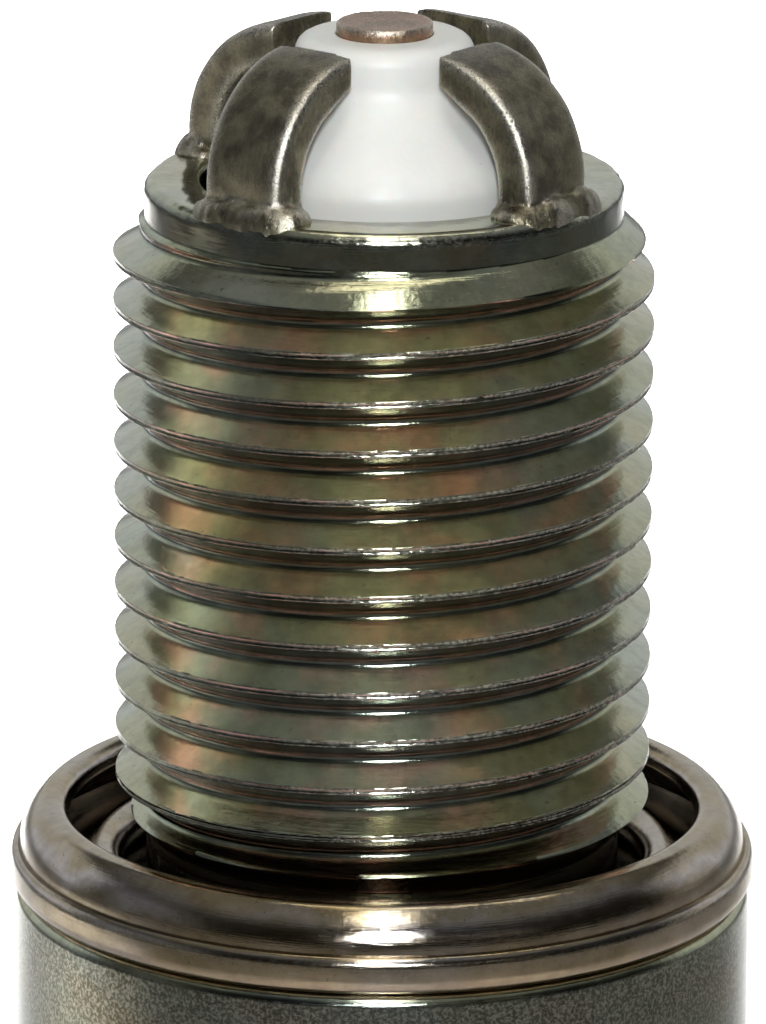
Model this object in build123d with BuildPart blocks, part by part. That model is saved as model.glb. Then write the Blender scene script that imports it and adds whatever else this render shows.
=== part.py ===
"""Spark plug: M14 x 1.25 thread, flat gasket seat, 16 mm hexagon, four ground electrodes.

Millimetres. The origin is on the axis in the shell's gasket seat plane, and +Z points to the firing end.
"""

import os
from math import asin, cos, degrees, radians, sin, sqrt, tan

from build123d import *

# ---- Driving dimensions -------------------------------------------------------------------------------
# Head interface
reach = 18.65                   # seat plane to the shell's firing face
thread_major_d = 13.77          # M14 x 1.25, class 6e
thread_pitch = 1.25
thread_depth_share = 0.6134      # depth of a metric external thread, in pitches
thread_root_z = 16.4            # height of one root line on the -Y side: this sets where the helix starts
pilot_d = 12.16                 # plain band between the firing face and the thread
pilot_h = 0.95
neck_d = 12.2                   # plain neck that the gasket sits round
neck_h = 1.6
face_chamfer = 0.3              # round the firing face
# Shell body
barrel_d = 19.0
barrel_h = 7.2
barrel_chamfer = 0.3
waist_d = 15.5                  # thin wall that is shrunk hot to pull the crimp down
waist_h = 2.2
hex_across_flats = 16.0
hex_h = 8.0
crimp_d = 14.4
crimp_straight_h = 0.6
crimp_wall = 0.8
crimp_bend_r = 1.6
# Shell bore
firing_bore_d = 9.3
ledge_bore_d = 8.4
ledge_z = 5.6                   # inner edge of the ledge's seat cone
ledge_h = 1.4
core_bore_d = 9.7
flange_bore_z = -2.2            # where the bore starts to open out for the insulator's flange
# Insulator
insulator_rise = 3.73           # tip above the firing face
insulator_tip_d = 4.54
insulator_tip_edge_r = 0.45
insulator_tip_h = 0.9           # cylinder under the tip, before the nose flares
nose_d = 7.9
nose_shoulder_z = 0.2           # height of the nose's full width above the firing face
insulator_gap = 0.15            # radial gap to the shell's bores
flange_shoulder_z = -13.2       # end of the insulator's wide flange
boot_barrel_d = 10.5            # glazed barrel that the plug cap grips
rib_count = 5
rib_pitch = 2.2
rib_depth = 0.5
first_rib_z = -23.5
insulator_end_z = -41.0
insulator_end_d = 8.6
electrode_bore_d = 2.5
seal_bore_d = 4.1
seal_bore_z = 6.4               # step that the centre electrode's head rests on
# Centre electrode, seals and terminal
electrode_d = 2.44
electrode_rise = 0.32           # firing tip above the insulator
electrode_edge = 0.06           # chamfer round the firing tip
electrode_head_d = 3.8
electrode_head_h = 1.0
copper_core_d = 1.4
copper_core_depth = 2.2         # end of the core below the firing tip
seal_clearance = 0.02           # radial, between parts set in the insulator's bore
front_seal_h = 4.2
resistor_h = 10.0
rear_seal_h = 5.0
seal_joint = 0.02               # gap between seal and resistor faces
stud_shaft_d = 3.8
stud_cover_h = 1.2              # glass in front of the stud's end
stud_anchor_h = 3.0             # grooved end set in the rear glass seal
stud_anchor_d = 3.0
stud_groove_depth = 0.25
stud_groove_count = 3
stud_flange_d = 6.6
stud_flange_h = 0.8
terminal_thread_d = 3.95        # M4 x 0.7
terminal_thread_pitch = 0.7
stud_neck_h = 0.5
stud_neck_relief = 0.05         # radial, below the root of its thread
stud_end_z = -49.8
terminal_end_z = -50.5          # end of the terminal nut
nut_head_d = 6.35
nut_head_h = 4.2
nut_groove_d = 5.2
nut_groove_h = 2.2
nut_bore_clearance = 0.06
nut_face_clearance = 0.03
# Ground electrodes
arm_count = 4
first_arm_angle = 50.5          # from the -Y side, turning towards +X
arm_width = 2.4
arm_thickness = 1.12
arm_bend_r = 3.18               # outer face
arm_bend_h = 0.58               # height of the bend's centre above the firing face
arm_foot_r = 5.65               # distance from the axis to the foot's outer face
arm_tip_r = 2.7                 # distance from the axis to the end face
arm_undercut_angle = 33.0       # slope of the straight inner face under the tip
arm_edge_r = 0.16
weld_h = 0.45                   # flash squeezed out round the foot by the resistance weld
weld_spread = 0.3
weld_draft = 25.0
# Packing between shell and insulator
seat_washer_t = 0.3
seat_angle = 30.0
packing_clearance = 0.02
packing_side_gap = 0.075        # radial, each side of a packing ring
packing_end_gap = 0.15          # between the upper packing ring and the crimp
# Gasket: one folded strip of sheet steel
gasket_sheet = 0.25
gasket_wrap_r = 9.62            # outer face of the edge that is wrapped up round the crown's foot
gasket_wrap_h = 0.9
gasket_wrap_bend_r = 0.325      # bend radii are all at mid sheet
gasket_lip_r = 6.7              # inner fold, smaller than the thread, so the ring stays on
gasket_fold_z = 0.545           # height of the centre of the inner fold and of the crown's foot bend
gasket_foot_bend_r = 0.14
gasket_foot_clearance = 0.01    # radial, between the crown's foot and the wrapped edge
gasket_side_lean = 5.0          # degrees that the crown's side leans inward
gasket_side_h = 0.4
gasket_shoulder_r = 1.175
gasket_shoulder_turn = 50.0
gasket_crown_bend_r = 0.275
gasket_crown_flat = 0.15
gasket_curl_r = 0.2             # edge turned down into the mouth
gasket_curl_h = 0.15

# ---- Derived sizes ------------------------------------------------------------------------------------
major_r = thread_major_d / 2
pilot_r = pilot_d / 2
neck_r = neck_d / 2
barrel_r = barrel_d / 2
pilot_z = reach - pilot_h
waist_z = -barrel_h
hex_z = waist_z - waist_h
crimp_z = hex_z - hex_h
crimp_r = crimp_d / 2
crimp_bend_z = crimp_z - crimp_straight_h
crimp_end_z = crimp_bend_z - crimp_bend_r
firing_bore_r = firing_bore_d / 2
ledge_bore_r = ledge_bore_d / 2
core_bore_r = core_bore_d / 2
flange_bore_r = crimp_r - crimp_wall
seat_slope = tan(radians(seat_angle))
ledge_outer_z = ledge_z - (core_bore_r - ledge_bore_r) * seat_slope
insulator_tip_z = reach + insulator_rise
nose_r = nose_d / 2
flange_r = flange_bore_r - insulator_gap
boot_r = boot_barrel_d / 2
core_r = core_bore_r - insulator_gap
electrode_tip_z = insulator_tip_z + electrode_rise
electrode_head_z = seal_bore_z - electrode_head_h
seal_r = seal_bore_d / 2 - seal_clearance
front_seal_z = electrode_head_z - seal_joint
resistor_z = front_seal_z - front_seal_h - seal_joint
rear_seal_z = resistor_z - resistor_h - seal_joint
rear_seal_end_z = rear_seal_z - rear_seal_h
stud_tip_z = rear_seal_z - stud_cover_h
nut_z = insulator_end_z - stud_flange_h - nut_face_clearance
packing_r = (flange_bore_r - boot_r) / 2 - packing_side_gap
packing_ring_r = (boot_r + flange_bore_r) / 2
shoulder_drop = (flange_r - boot_r) * seat_slope
packing_reach = (packing_r + packing_clearance) / cos(radians(seat_angle))
lower_packing_z = flange_shoulder_z - (flange_r - packing_ring_r) * seat_slope - packing_reach
upper_packing_z = crimp_end_z + crimp_wall + packing_r + packing_end_gap


def turned(outline):
    """Solid turned about Z from a closed outline of (radius, height) corners."""
    with BuildPart() as body:
        with BuildSketch(Plane.XZ):
            with BuildLine():
                Polyline(*outline, close=True)
            make_face()
        revolve(axis=Axis.Z)
    return body.part


def ring(outer_r, inner_r, z_high, z_low):
    """Plain ring, or a disc when inner_r is 0."""
    return turned([(inner_r, z_high), (outer_r, z_high), (outer_r, z_low), (inner_r, z_low)])


def thread_groove(pitch, outer_r, z_low, z_high, angle_low):
    """60 degree helical groove with a rounded root, to cut from a cylinder and leave a flat crest."""
    flank_slope = tan(radians(30))
    overshoot = 0.1                                 # the groove's mouth runs this far past the crest
    depth = thread_depth_share * pitch
    crest_half = pitch * 7 / 16
    mouth_half = crest_half + overshoot * flank_slope
    root_half = crest_half - depth * flank_slope
    start = Plane(origin=(0, 0, z_low), x_dir=(1, 0, 0), z_dir=(0, -1, 0))
    with BuildPart() as groove:
        with BuildLine():
            Helix(pitch=pitch, height=z_high - z_low, radius=outer_r, center=(0, 0, z_low))
        with BuildSketch(start) as section:
            with BuildLine():
                Polyline(
                    (outer_r + overshoot, -mouth_half),
                    (outer_r - depth, -root_half),
                    (outer_r - depth, root_half),
                    (outer_r + overshoot, mouth_half),
                    close=True,
                )
            make_face()
            fillet(section.vertices().sort_by(Axis.X)[:2], 0.1 * pitch)
        sweep(is_frenet=True)
    return groove.part.rotate(Axis.Z, angle_low)


def save(piece, label):
    """Names a finished piece and writes its STEP file."""
    piece.part.label = label
    export_step(piece.part, f"parts/{label}.step")


os.makedirs("parts", exist_ok=True)

# ---- Shell --------------------------------------------------------------------------------------------
groove_low_z = 0.9
groove_high_z = pilot_z + 0.25
front_angle = 270                                   # the -Y side, seen from +Z
groove_low_angle = front_angle - 360 * (thread_root_z - groove_low_z) / thread_pitch

with BuildPart() as shell:
    with BuildSketch(Plane.XZ):
        with BuildLine():
            Polyline(
                (crimp_r - crimp_bend_r, crimp_end_z),
                (crimp_r - crimp_bend_r, crimp_end_z + crimp_wall),
            )
            RadiusArc(
                (crimp_r - crimp_bend_r, crimp_end_z + crimp_wall),
                (flange_bore_r, crimp_bend_z),
                -(crimp_bend_r - crimp_wall),
            )
            Polyline(
                (flange_bore_r, crimp_bend_z),
                (flange_bore_r, flange_bore_z - (flange_bore_r - core_bore_r)),
                (core_bore_r, flange_bore_z),
                (core_bore_r, ledge_outer_z),
                (ledge_bore_r, ledge_z),
                (ledge_bore_r, ledge_z + ledge_h - (firing_bore_r - ledge_bore_r)),
                (firing_bore_r, ledge_z + ledge_h),
                (firing_bore_r, reach),
                (pilot_r - face_chamfer, reach),
                (pilot_r, reach - face_chamfer),
                (pilot_r, pilot_z),
                (major_r, pilot_z - (major_r - pilot_r)),
                (major_r, neck_h + (major_r - neck_r)),
                (neck_r, neck_h),
                (neck_r, 0),
                (barrel_r - barrel_chamfer, 0),
                (barrel_r, -barrel_chamfer),
                (barrel_r, waist_z),
                (waist_d / 2, waist_z),
                (waist_d / 2, hex_z),
                (crimp_r, hex_z),
                (crimp_r, crimp_bend_z),
            )
            RadiusArc(
                (crimp_r, crimp_bend_z),
                (crimp_r - crimp_bend_r, crimp_end_z),
                crimp_bend_r,
            )
        make_face()
    revolve(axis=Axis.Z)
    add(
        thread_groove(thread_pitch, major_r, groove_low_z, groove_high_z, groove_low_angle),
        mode=Mode.SUBTRACT,
    )
    # Hexagon with the corners turned off at both ends
    with BuildPart(mode=Mode.PRIVATE) as hexagon:
        with BuildSketch(Plane.XY.offset(crimp_z)):
            RegularPolygon(hex_across_flats / 2, 6, major_radius=False)
            Circle(waist_d / 2 - 0.2, mode=Mode.SUBTRACT)
        extrude(amount=hex_h)
        hex_corner_r = hex_across_flats / sqrt(3)
        hex_face_r = hex_across_flats / 2 - 0.2
        hex_cut = (hex_corner_r - hex_face_r) * tan(radians(30))
        add(
            turned(
                [
                    (0, hex_z),
                    (hex_face_r, hex_z),
                    (hex_corner_r, hex_z - hex_cut),
                    (hex_corner_r, crimp_z + hex_cut),
                    (hex_face_r, crimp_z),
                    (0, crimp_z),
                ]
            ),
            mode=Mode.INTERSECT,
        )
    add(hexagon.part)
save(shell, "shell")

# ---- Gasket -------------------------------------------------------------------------------------------
# The path of mid sheet: down the wrapped edge, in along the seat, round the inner fold, back out to the
# crown's foot, up the side, over the crown and down into the mouth. Headings are degrees from outward.
half_sheet = gasket_sheet / 2
wrap_mid_r = gasket_wrap_r - half_sheet
wrap_bend_end_r = wrap_mid_r - gasket_wrap_bend_r
inner_fold_r = gasket_fold_z - half_sheet
inner_fold_centre_r = gasket_lip_r + half_sheet + inner_fold_r
foot_outer_r = gasket_wrap_r - gasket_sheet - gasket_foot_clearance
foot_centre_r = foot_outer_r - half_sheet - gasket_foot_bend_r
floor_slope = degrees(
    asin((inner_fold_r + gasket_foot_bend_r) / (foot_centre_r - inner_fold_centre_r))
)
floor_dip = radians(90 - floor_slope)
side_heading = 90 + gasket_side_lean

with BuildPart() as gasket:
    with BuildSketch(Plane.XZ):
        with BuildLine():
            Line(
                (wrap_mid_r, gasket_wrap_h),
                (wrap_mid_r, half_sheet + gasket_wrap_bend_r),
            )
            JernArc(
                (wrap_mid_r, half_sheet + gasket_wrap_bend_r),
                (0, -1),
                gasket_wrap_bend_r,
                -90,
            )
            Line((wrap_bend_end_r, half_sheet), (inner_fold_centre_r, half_sheet))
            inner_fold = JernArc(
                (inner_fold_centre_r, half_sheet), (-1, 0), inner_fold_r, -(180 + floor_slope)
            )
            floor = Line(
                inner_fold @ 1,
                (
                    foot_centre_r - gasket_foot_bend_r * cos(floor_dip),
                    gasket_fold_z - gasket_foot_bend_r * sin(floor_dip),
                ),
            )
            foot = JernArc(floor @ 1, floor % 1, gasket_foot_bend_r, floor_slope + side_heading)
            side = Line(foot @ 1, foot @ 1 + (foot % 1) * gasket_side_h)
            shoulder = JernArc(side @ 1, side % 1, gasket_shoulder_r, gasket_shoulder_turn)
            crown = JernArc(
                shoulder @ 1,
                shoulder % 1,
                gasket_crown_bend_r,
                180 - side_heading - gasket_shoulder_turn,
            )
            flat = Line(crown @ 1, crown @ 1 - (gasket_crown_flat, 0))
            curl = JernArc(flat @ 1, (-1, 0), gasket_curl_r, 90)
            Line(curl @ 1, curl @ 1 - (0, gasket_curl_h))
            offset(amount=half_sheet, kind=Kind.ARC, side=Side.BOTH)
        make_face()
    revolve(axis=Axis.Z)
save(gasket, "gasket")

# ---- Ground electrodes --------------------------------------------------------------------------------
bend_centre_r = arm_foot_r - arm_bend_r
bend_centre_z = reach + arm_bend_h
arm_inner_bend_r = arm_bend_r - arm_thickness
arm_inner_r = arm_foot_r - arm_thickness
arm_tip_z = bend_centre_z + sqrt(arm_bend_r**2 - (arm_tip_r - bend_centre_r) ** 2)
undercut = radians(arm_undercut_angle)
undercut_r = bend_centre_r + arm_inner_bend_r * sin(undercut)
undercut_z = bend_centre_z + arm_inner_bend_r * cos(undercut)
arm_tip_low_z = undercut_z + (undercut_r - arm_tip_r) * tan(undercut)

with BuildPart() as arm:
    with BuildSketch(Plane.XZ):
        with BuildLine():
            Polyline(
                (arm_tip_r, arm_tip_z),
                (arm_tip_r, arm_tip_low_z),
                (undercut_r, undercut_z),
            )
            RadiusArc((undercut_r, undercut_z), (arm_inner_r, bend_centre_z), arm_inner_bend_r)
            Polyline(
                (arm_inner_r, bend_centre_z),
                (arm_inner_r, reach),
                (arm_foot_r, reach),
                (arm_foot_r, bend_centre_z),
            )
            RadiusArc((arm_foot_r, bend_centre_z), (arm_tip_r, arm_tip_z), -arm_bend_r)
        make_face()
    extrude(amount=arm_width / 2, both=True)
    side_edges = [
        edge
        for edge in arm.edges()
        if abs(abs(edge.center().Y) - arm_width / 2) < 0.01 and edge.center().Z > reach + 0.01
    ]
    tip_edges = [
        edge for edge in arm.edges().filter_by(Axis.Y) if edge.center().X < arm_tip_r + 0.01
    ]
    fillet(side_edges + tip_edges, arm_edge_r)
    # Weld flash, trimmed level with the shell's pilot band
    with BuildSketch(Plane.XY.offset(reach)):
        with Locations(((arm_inner_r + barrel_r) / 2, 0)):
            Rectangle(barrel_r - arm_inner_r, arm_width + 2 * weld_spread)
        Circle(pilot_r - face_chamfer, mode=Mode.INTERSECT)
    extrude(amount=weld_h, taper=weld_draft)

for number in range(arm_count):
    with BuildPart() as ground_electrode:
        add(arm.part.rotate(Axis.Z, first_arm_angle - 90 + number * 360 / arm_count))
    save(ground_electrode, f"ground_electrode_{number + 1}")

# ---- Insulator ----------------------------------------------------------------------------------------
tip_half = insulator_tip_d / 2
flare_z = insulator_tip_z - insulator_tip_h
washer_drop = (seat_washer_t + 2 * packing_clearance) / cos(radians(seat_angle))
shoulder_z = ledge_z - washer_drop                  # insulator's seat cone, at the ledge bore's radius
flange_top_z = flange_bore_z - 2 * insulator_gap
rib_valley_h = rib_pitch * 0.7
last_rib_z = first_rib_z - rib_count * rib_pitch
end_half = insulator_end_d / 2
end_edge_r = 0.5

with BuildPart() as insulator:
    with BuildSketch(Plane.XZ):
        with BuildLine():
            Polyline(
                (seal_bore_d / 2, insulator_end_z),
                (seal_bore_d / 2, seal_bore_z),
                (electrode_bore_d / 2, seal_bore_z),
                (electrode_bore_d / 2, insulator_tip_z),
                (tip_half - insulator_tip_edge_r, insulator_tip_z),
            )
            RadiusArc(
                (tip_half - insulator_tip_edge_r, insulator_tip_z),
                (tip_half, insulator_tip_z - insulator_tip_edge_r),
                insulator_tip_edge_r,
            )
            Line((tip_half, insulator_tip_z - insulator_tip_edge_r), (tip_half, flare_z))
            Spline(
                (tip_half, flare_z),
                (nose_r, reach + nose_shoulder_z),
                tangents=[(0, -1), (0, -1)],
            )
            Polyline(
                (nose_r, reach + nose_shoulder_z),
                (nose_r, shoulder_z + (ledge_bore_r - nose_r) * seat_slope),
                (core_r, shoulder_z - (core_r - ledge_bore_r) * seat_slope),
                (core_r, flange_top_z),
                (flange_r, flange_top_z - (flange_r - core_r)),
                (flange_r, flange_shoulder_z),
                (boot_r, flange_shoulder_z - shoulder_drop),
                (boot_r, first_rib_z),
            )
            for rib in range(rib_count):
                valley_z = first_rib_z - rib * rib_pitch
                ThreePointArc(
                    (boot_r, valley_z),
                    (boot_r - rib_depth, valley_z - rib_valley_h / 2),
                    (boot_r, valley_z - rib_valley_h),
                )
                Line((boot_r, valley_z - rib_valley_h), (boot_r, valley_z - rib_pitch))
            Polyline(
                (boot_r, last_rib_z),
                (boot_r, last_rib_z - 1.5),
                (end_half, last_rib_z - 3.5),
                (end_half, insulator_end_z + end_edge_r),
            )
            RadiusArc(
                (end_half, insulator_end_z + end_edge_r),
                (end_half - end_edge_r, insulator_end_z),
                end_edge_r,
            )
            Line((end_half - end_edge_r, insulator_end_z), (seal_bore_d / 2, insulator_end_z))
        make_face()
    revolve(axis=Axis.Z)
save(insulator, "insulator")

# ---- Centre electrode ---------------------------------------------------------------------------------
electrode_r = electrode_d / 2
electrode_head_r = electrode_head_d / 2
core_top_z = electrode_tip_z - copper_core_depth
core_pocket_r = copper_core_d / 2 + seal_clearance
with BuildPart() as centre_electrode:
    add(
        turned(
            [
                (0, electrode_tip_z),
                (electrode_r - electrode_edge, electrode_tip_z),
                (electrode_r, electrode_tip_z - electrode_edge),
                (electrode_r, seal_bore_z - seal_joint),
                (electrode_head_r, seal_bore_z - seal_joint),
                (electrode_head_r, electrode_head_z),
                (core_pocket_r, electrode_head_z),
                (core_pocket_r, core_top_z + seal_joint),
                (0, core_top_z + seal_joint),
            ]
        )
    )
save(centre_electrode, "centre_electrode")

with BuildPart() as copper_core:
    add(ring(copper_core_d / 2, 0, core_top_z, electrode_head_z))
save(copper_core, "centre_electrode_copper_core")

# ---- Seals and resistor -------------------------------------------------------------------------------
with BuildPart() as front_seal:
    add(ring(seal_r, 0, front_seal_z, front_seal_z - front_seal_h))
save(front_seal, "front_glass_seal")

with BuildPart() as resistor:
    add(ring(seal_r, 0, resistor_z, resistor_z - resistor_h))
save(resistor, "resistor")

anchor_r = stud_anchor_d / 2
stud_r = stud_shaft_d / 2
anchor_end_z = stud_tip_z - stud_anchor_h
with BuildPart() as rear_seal:
    add(
        turned(
            [
                (0, rear_seal_z),
                (seal_r, rear_seal_z),
                (seal_r, rear_seal_end_z),
                (stud_r + seal_clearance, rear_seal_end_z),
                (stud_r + seal_clearance, anchor_end_z),
                (anchor_r + seal_clearance, anchor_end_z),
                (anchor_r + seal_clearance, stud_tip_z + seal_joint),
                (0, stud_tip_z + seal_joint),
            ]
        )
    )
save(rear_seal, "rear_glass_seal")

# ---- Terminal stud and nut ----------------------------------------------------------------------------
stud_flange_z = insulator_end_z - stud_flange_h
terminal_r = terminal_thread_d / 2
stud_neck_r = terminal_r - thread_depth_share * terminal_thread_pitch - stud_neck_relief
stud_thread_z = stud_flange_z - stud_neck_h
groove_pitch = stud_anchor_h / stud_groove_count
with BuildPart() as terminal_stud:
    add(
        turned(
            [
                (0, stud_tip_z),
                (anchor_r, stud_tip_z),
                (anchor_r, anchor_end_z - seal_joint),
                (stud_r, anchor_end_z - seal_joint),
                (stud_r, insulator_end_z),
                (stud_flange_d / 2, insulator_end_z),
                (stud_flange_d / 2, stud_flange_z),
                (stud_neck_r, stud_flange_z),
                (stud_neck_r, stud_thread_z),
                (terminal_r, stud_thread_z - (terminal_r - stud_neck_r)),
                (terminal_r, stud_end_z + (terminal_r - stud_neck_r)),
                (stud_neck_r, stud_end_z),
                (0, stud_end_z),
            ]
        )
    )
    for groove in range(stud_groove_count):
        middle_z = stud_tip_z - (groove + 0.5) * groove_pitch
        add(
            ring(
                anchor_r + 0.1,
                anchor_r - stud_groove_depth,
                middle_z + groove_pitch / 4,
                middle_z - groove_pitch / 4,
            ),
            mode=Mode.SUBTRACT,
        )
    add(
        thread_groove(
            terminal_thread_pitch,
            terminal_r,
            stud_end_z + 0.3,
            stud_thread_z + 0.05,
            0,
        ),
        mode=Mode.SUBTRACT,
    )
save(terminal_stud, "terminal_stud")

nut_bore_r = terminal_r + nut_bore_clearance
nut_head_r = nut_head_d / 2
nut_waist_r = nut_groove_d / 2
nut_head_z = terminal_end_z + nut_head_h
nut_edge_r = 0.7
nut_chamfer = 0.3
with BuildPart() as terminal_nut:
    with BuildSketch(Plane.XZ):
        with BuildLine():
            Polyline(
                (nut_head_r - nut_edge_r, terminal_end_z),
                (nut_bore_r + nut_chamfer, terminal_end_z),
                (nut_bore_r, terminal_end_z + nut_chamfer),
                (nut_bore_r, nut_z),
                (nut_head_r - nut_chamfer, nut_z),
                (nut_head_r, nut_z - nut_chamfer),
                (nut_head_r, nut_head_z + nut_groove_h),
                (nut_waist_r, nut_head_z + nut_groove_h - (nut_head_r - nut_waist_r)),
                (nut_waist_r, nut_head_z + (nut_head_r - nut_waist_r)),
                (nut_head_r, nut_head_z),
                (nut_head_r, terminal_end_z + nut_edge_r),
            )
            RadiusArc(
                (nut_head_r, terminal_end_z + nut_edge_r),
                (nut_head_r - nut_edge_r, terminal_end_z),
                nut_edge_r,
            )
        make_face()
    revolve(axis=Axis.Z)
save(terminal_nut, "terminal_nut")

# ---- Packing between shell and insulator --------------------------------------------------------------
washer_inner_r = ledge_bore_r + 0.05
washer_outer_r = core_bore_r - 0.05
washer_high_z = ledge_z - packing_clearance / cos(radians(seat_angle))
washer_low_z = washer_high_z - seat_washer_t / cos(radians(seat_angle))
with BuildPart() as seat_washer:
    add(
        turned(
            [
                (washer_inner_r, washer_high_z - (washer_inner_r - ledge_bore_r) * seat_slope),
                (washer_outer_r, washer_high_z - (washer_outer_r - ledge_bore_r) * seat_slope),
                (washer_outer_r, washer_low_z - (washer_outer_r - ledge_bore_r) * seat_slope),
                (washer_inner_r, washer_low_z - (washer_inner_r - ledge_bore_r) * seat_slope),
            ]
        )
    )
save(seat_washer, "insulator_seat_washer")

for label, height in (("lower_packing_ring", lower_packing_z), ("upper_packing_ring", upper_packing_z)):
    with BuildPart() as packing_ring:
        with BuildSketch(Plane.XZ):
            with Locations((packing_ring_r, height)):
                Circle(packing_r)
        revolve(axis=Axis.Z)
    save(packing_ring, label)

talc_high_z = lower_packing_z - packing_r - packing_clearance
talc_low_z = upper_packing_z + packing_r + packing_clearance
with BuildPart() as talc_ring:
    add(ring(flange_bore_r - packing_clearance, boot_r + packing_clearance, talc_high_z, talc_low_z))
save(talc_ring, "talc_ring")
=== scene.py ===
"""Looks of the spark plug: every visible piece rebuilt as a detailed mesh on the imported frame, in metres."""

import math

import bmesh
import bpy
import numpy as np
from mathutils import Matrix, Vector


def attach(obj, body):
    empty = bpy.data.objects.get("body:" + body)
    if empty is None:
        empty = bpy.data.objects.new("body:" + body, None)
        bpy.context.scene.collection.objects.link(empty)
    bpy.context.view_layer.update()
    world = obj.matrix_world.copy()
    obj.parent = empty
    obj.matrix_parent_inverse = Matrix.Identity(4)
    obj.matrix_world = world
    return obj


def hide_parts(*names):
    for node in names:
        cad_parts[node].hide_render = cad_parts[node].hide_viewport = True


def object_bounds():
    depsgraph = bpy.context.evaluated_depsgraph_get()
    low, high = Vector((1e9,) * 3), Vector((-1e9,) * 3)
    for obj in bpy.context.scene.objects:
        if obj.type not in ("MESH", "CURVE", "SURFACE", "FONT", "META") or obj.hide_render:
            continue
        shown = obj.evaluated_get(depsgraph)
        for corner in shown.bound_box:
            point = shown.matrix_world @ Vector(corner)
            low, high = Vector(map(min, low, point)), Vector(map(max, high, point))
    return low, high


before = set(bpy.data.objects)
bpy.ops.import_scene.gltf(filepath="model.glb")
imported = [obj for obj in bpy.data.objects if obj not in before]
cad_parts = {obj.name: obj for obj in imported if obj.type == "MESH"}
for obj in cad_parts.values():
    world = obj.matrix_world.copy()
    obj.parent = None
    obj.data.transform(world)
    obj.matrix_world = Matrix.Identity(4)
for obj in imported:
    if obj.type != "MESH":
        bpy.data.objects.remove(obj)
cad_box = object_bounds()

MM = 0.001
rng = np.random.default_rng(14)

# ---- Sizes, in millimetres, the same values as the CAD's -------------------------------------------------
REACH = 18.65
PITCH = 1.25
MAJOR_R = 6.885
THREAD_DEPTH = 0.767
ROOT_ARC_R = 0.18
FRONT_ROOT_Z = 16.4             # height of one root line on the -Y side
PILOT_R = 6.08
PILOT_Z = 17.7
FACE_CHAMFER = 0.3
NECK_R = 6.1
NECK_Z = 1.6
BARREL_R = 9.5
WAIST_R = 7.75
WAIST_Z = -7.2
HEX_Z = -9.4
HEX_END_Z = -17.4
HEX_FLAT_R = 8.0
CRIMP_R = 7.2
CRIMP_END_Z = -19.6
CRIMP_WALL = 0.8
BORE_R = 4.65
AROUND = 576                    # points round a turned piece, a multiple of 12


def smoothstep(value, low, high):
    """0 below low, 1 above high, smooth between."""
    t = np.clip((value - low) / (high - low), 0, 1)
    return t * t * (3 - 2 * t)


def soft_min(a, b, blend):
    """The smaller of a and b, rounded off where they cross."""
    h = np.clip(0.5 + 0.5 * (b - a) / blend, 0, 1)
    return b + (a - b) * h - blend * h * (1 - h)


def wave_noise(angle, cell, octaves, generator):
    """Smooth random numbers from -1 to 1 round a circle, with features about cell radians long."""
    total = np.zeros_like(angle)
    for octave in range(octaves):
        count = max(3, int(2 * math.pi / cell) * 2**octave)
        values = generator.uniform(-1, 1, count)
        position = angle / (2 * math.pi) * count
        low = np.floor(position).astype(int)
        t = position - low
        t = t * t * (3 - 2 * t)
        total += (values[low % count] * (1 - t) + values[(low + 1) % count] * t) / 2**octave
    return total / 2


def rounded(corners, closed=True, steps=5):
    """Outline of (radius, height) points from (radius, height, fillet) corners, in millimetres."""
    points = []
    count = len(corners)
    for index, (r, z, fillet) in enumerate(corners):
        here = np.array((r, z), float)
        if fillet == 0 or (not closed and index in (0, count - 1)):
            points.append(here)
            continue
        before = np.array(corners[index - 1][:2], float) - here
        after = np.array(corners[(index + 1) % count][:2], float) - here
        u = before / np.linalg.norm(before)
        v = after / np.linalg.norm(after)
        half = math.acos(np.clip(np.dot(u, v), -1, 1)) / 2
        back = fillet / math.tan(half)
        centre = here + (u + v) / np.linalg.norm(u + v) * fillet / math.sin(half)
        start = here + u * back - centre
        end = here + v * back - centre
        sweep = math.pi - 2 * half
        for step in range(steps + 1):
            t = step / steps
            mix = (math.sin((1 - t) * sweep) * start + math.sin(t * sweep) * end) / math.sin(sweep)
            points.append(centre + mix)
    return np.array(points)


def add_piece(name, points, faces, body, nodes, material, sharp_angle=50):
    """A closed mesh from millimetre points, riding on a body and standing for CAD nodes."""
    mesh = bpy.data.meshes.new(name)
    mesh.from_pydata((np.asarray(points) * MM).tolist(), [], faces)
    work = bmesh.new()
    work.from_mesh(mesh)
    bmesh.ops.remove_doubles(work, verts=work.verts, dist=1e-7)
    bmesh.ops.recalc_face_normals(work, faces=work.faces)
    work.to_mesh(mesh)
    work.free()
    mesh.shade_smooth()
    mesh.set_sharp_from_angle(angle=math.radians(sharp_angle))
    mesh.materials.append(material)
    piece = bpy.data.objects.new(name, mesh)
    bpy.context.scene.collection.objects.link(piece)
    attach(piece, body)
    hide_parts(*nodes)
    return piece


def ring_points(rings, around):
    """Points of rings of (radius, height), each a number or one value per angle."""
    angle = np.arange(around) * 2 * math.pi / around
    points = []
    for r, z in rings:
        r = np.broadcast_to(r, around)
        z = np.broadcast_to(z, around)
        points.append(np.stack((r * np.cos(angle), r * np.sin(angle), z), axis=1))
    return np.concatenate(points)


def ring_faces(ring_count, around, closed):
    """Quads between neighbouring rings."""
    faces = []
    for ring in range(ring_count if closed else ring_count - 1):
        low = ring * around
        high = ((ring + 1) % ring_count) * around
        for k in range(around):
            n = (k + 1) % around
            faces.append((low + k, low + n, high + n, high + k))
    return faces


def turned(name, outline, body, nodes, material, around=192, closed=True, sharp_angle=50):
    """A turned piece from an outline; closed=False is for an outline that starts and ends on the axis."""
    points = ring_points([tuple(p) for p in outline], around)
    faces = ring_faces(len(outline), around, closed)
    return add_piece(name, points, faces, body, nodes, material, sharp_angle)


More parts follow.
